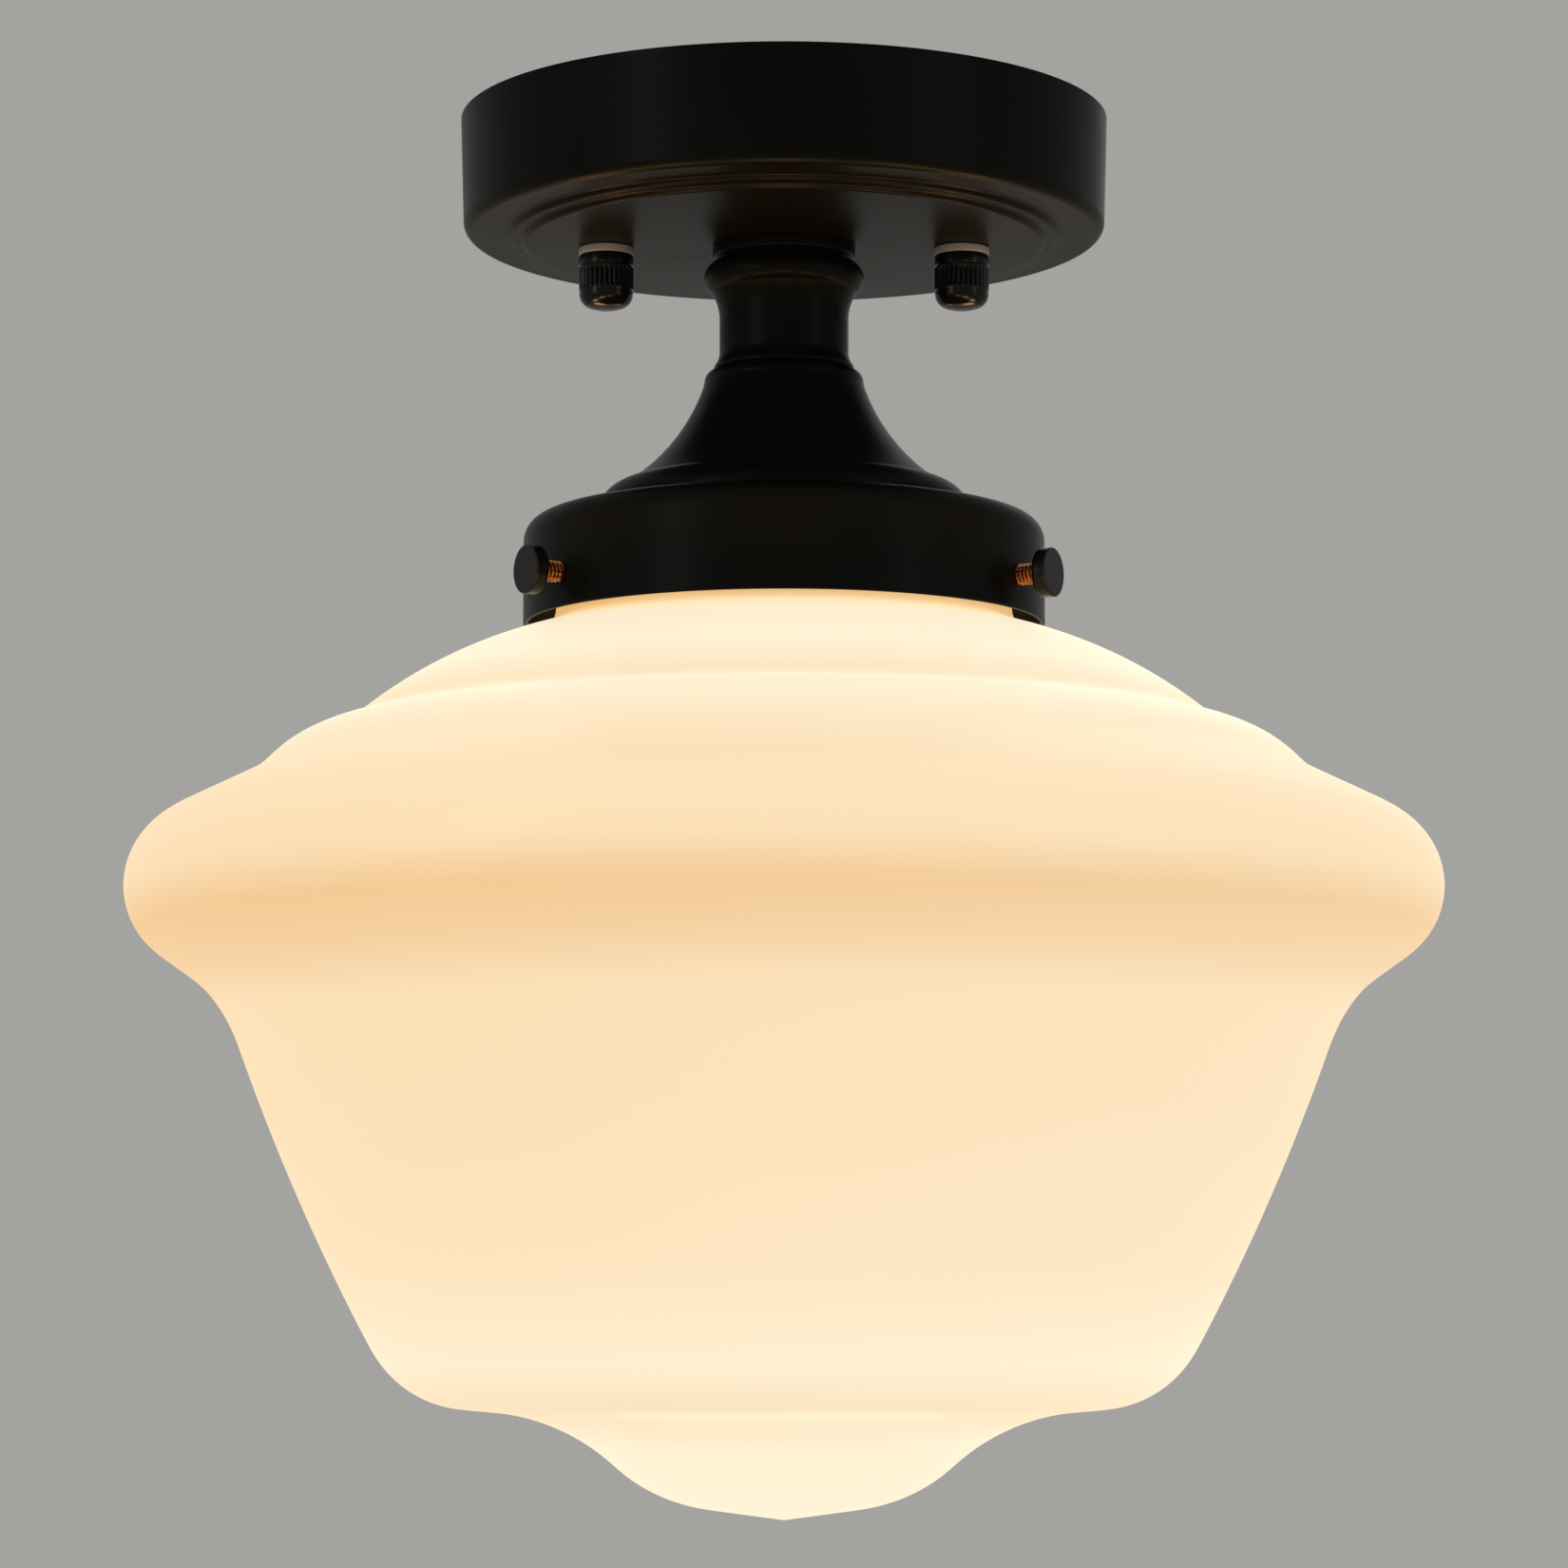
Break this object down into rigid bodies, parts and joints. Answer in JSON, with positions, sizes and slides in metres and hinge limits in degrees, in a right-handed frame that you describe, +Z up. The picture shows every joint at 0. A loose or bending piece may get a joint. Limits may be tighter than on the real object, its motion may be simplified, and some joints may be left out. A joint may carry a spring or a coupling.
{
  "type": "semi flush ceiling light",
  "caption": "Ceiling light with a round black canopy, turned neck, bell cover and shade holder that grips an opal glass shade of bulged, tapering form with thumb screws.",
  "frame": {"origin": "centre of the ceiling plane, where the canopy's rim and the crossbar's upper face lie", "axes": "+Z up into the ceiling; the light hangs along -Z; -Y towards the picture's camera; +X to its right, through the right cap nut"},
  "size_m": [0.2538, 0.2538, 0.2723],
  "materials": {
    "black_metal": "satin black enamel on spun steel and turned brass",
    "zinc_steel": "bright zinc plate",
    "green_steel": "green passivated earth screw",
    "brass": "bare brass",
    "white_nylon": "natural white nylon",
    "block_plastic": "moulded polyamide",
    "black_pvc": "insulated lead",
    "white_pvc": "insulated lead",
    "green_pvc": "insulated lead",
    "porcelain": "white glazed porcelain",
    "opal_glass": "cased opal glass, satin, seen lit",
    "bulb_glass": "frosted bulb glass, seen lit",
    "black_glass": "fused black glass insulator",
    "nickel_cap": "nickel plated cap"
  },
  "bodies": {
    "light": {"crossbar": "zinc_steel", "mounting_studs": "zinc_steel", "stud_lock_nuts": "zinc_steel", "earth_screw": "green_steel", "earth_tag": "zinc_steel", "terminal_block": "block_plastic", "terminal_sleeves": "brass", "clamp_screws": "zinc_steel", "block_screws": "zinc_steel", "canopy": "black_metal", "threaded_tube": "zinc_steel", "tube_top_nut": "zinc_steel", "tube_top_lock_washer": "zinc_steel", "neck_spool": "black_metal", "bell_cover": "black_metal", "fitter": "black_metal", "fitter_lock_washer": "zinc_steel", "fitter_nut": "zinc_steel", "socket_bracket": "zinc_steel", "socket_body": "porcelain", "socket_shell": "brass", "socket_contact": "brass", "socket_terminal_screws": "brass", "socket_mount_screws": "zinc_steel", "live_lead": "black_pvc", "neutral_lead": "white_pvc", "earth_lead": "green_pvc", "shade": "opal_glass"},
    "left_washer": {"nut_washer_left": "white_nylon"},
    "left_nut": {"cap_nut_left": "black_metal"},
    "right_washer": {"nut_washer_right": "white_nylon"},
    "right_nut": {"cap_nut_right": "black_metal"},
    "bulb_foot": {"bulb_contact": "brass", "bulb_foot": "black_glass"},
    "bulb": {"bulb_cap": "nickel_cap", "bulb_envelope": "bulb_glass"},
    "shank_back": {"screw_shank_back": "brass"},
    "head_back": {"screw_head_back": "black_metal"},
    "shank_left": {"screw_shank_left": "brass"},
    "head_left": {"screw_head_left": "black_metal"},
    "shank_right": {"screw_shank_right": "brass"},
    "head_right": {"screw_head_right": "black_metal"}
  },
  "joints": [
    {"name": "left_nut_travel", "type": "slide", "parent": "light", "child": "left_washer", "axis": [0, 0, -1], "range_m": [0, 0.00635]},
    {"name": "left_nut_turn", "type": "hinge", "parent": "left_washer", "child": "left_nut", "pos_m": [-0.03492, 0, -0.026], "axis": [0, 0, -1], "range_deg": [0, 2880]},
    {"name": "right_nut_travel", "type": "slide", "parent": "light", "child": "right_washer", "axis": [0, 0, -1], "range_m": [0, 0.00635]},
    {"name": "right_nut_turn", "type": "hinge", "parent": "right_washer", "child": "right_nut", "pos_m": [0.03492, 0, -0.026], "axis": [0, 0, -1], "range_deg": [0, 2880]},
    {"name": "back_screw_travel", "type": "slide", "parent": "light", "child": "shank_back", "axis": [-0.0401, 0.9992, 0], "range_m": [0, 0.00476]},
    {"name": "back_screw_turn", "type": "hinge", "parent": "shank_back", "child": "head_back", "pos_m": [-0.0022, 0.05476, -0.0933], "axis": [-0.0401, 0.9992, 0], "range_deg": [0, 2160]},
    {"name": "left_screw_travel", "type": "slide", "parent": "light", "child": "shank_left", "axis": [-0.8453, -0.5344, 0], "range_m": [0, 0.00476]},
    {"name": "left_screw_turn", "type": "hinge", "parent": "shank_left", "child": "head_left", "pos_m": [-0.04632, -0.02928, -0.0933], "axis": [-0.8453, -0.5344, 0], "range_deg": [0, 2160]},
    {"name": "right_screw_travel", "type": "slide", "parent": "light", "child": "shank_right", "axis": [0.8854, -0.4648, 0], "range_m": [0, 0.00476]},
    {"name": "right_screw_turn", "type": "hinge", "parent": "shank_right", "child": "head_right", "pos_m": [0.04852, -0.02547, -0.0933], "axis": [0.8854, -0.4648, 0], "range_deg": [0, 2160]},
    {"name": "bulb_travel", "type": "slide", "parent": "light", "child": "bulb_foot", "axis": [0, 0, -1], "range_m": [0, 0.01451]},
    {"name": "bulb_turn", "type": "hinge", "parent": "bulb_foot", "child": "bulb", "pos_m": [0, 0, -0.115], "axis": [0, 0, -1], "range_deg": [0, 1440]}
  ],
  "couplings": [
    {"joint": "left_nut_turn", "follows": "left_nut_travel", "rad_per_m": 7913.3},
    {"joint": "right_nut_turn", "follows": "right_nut_travel", "rad_per_m": 7913.3},
    {"joint": "back_screw_turn", "follows": "back_screw_travel", "rad_per_m": 7913.3},
    {"joint": "left_screw_turn", "follows": "left_screw_travel", "rad_per_m": 7913.3},
    {"joint": "right_screw_turn", "follows": "right_screw_travel", "rad_per_m": 7913.3},
    {"joint": "bulb_turn", "follows": "bulb_travel", "rad_per_m": 1731.4}
  ]
}
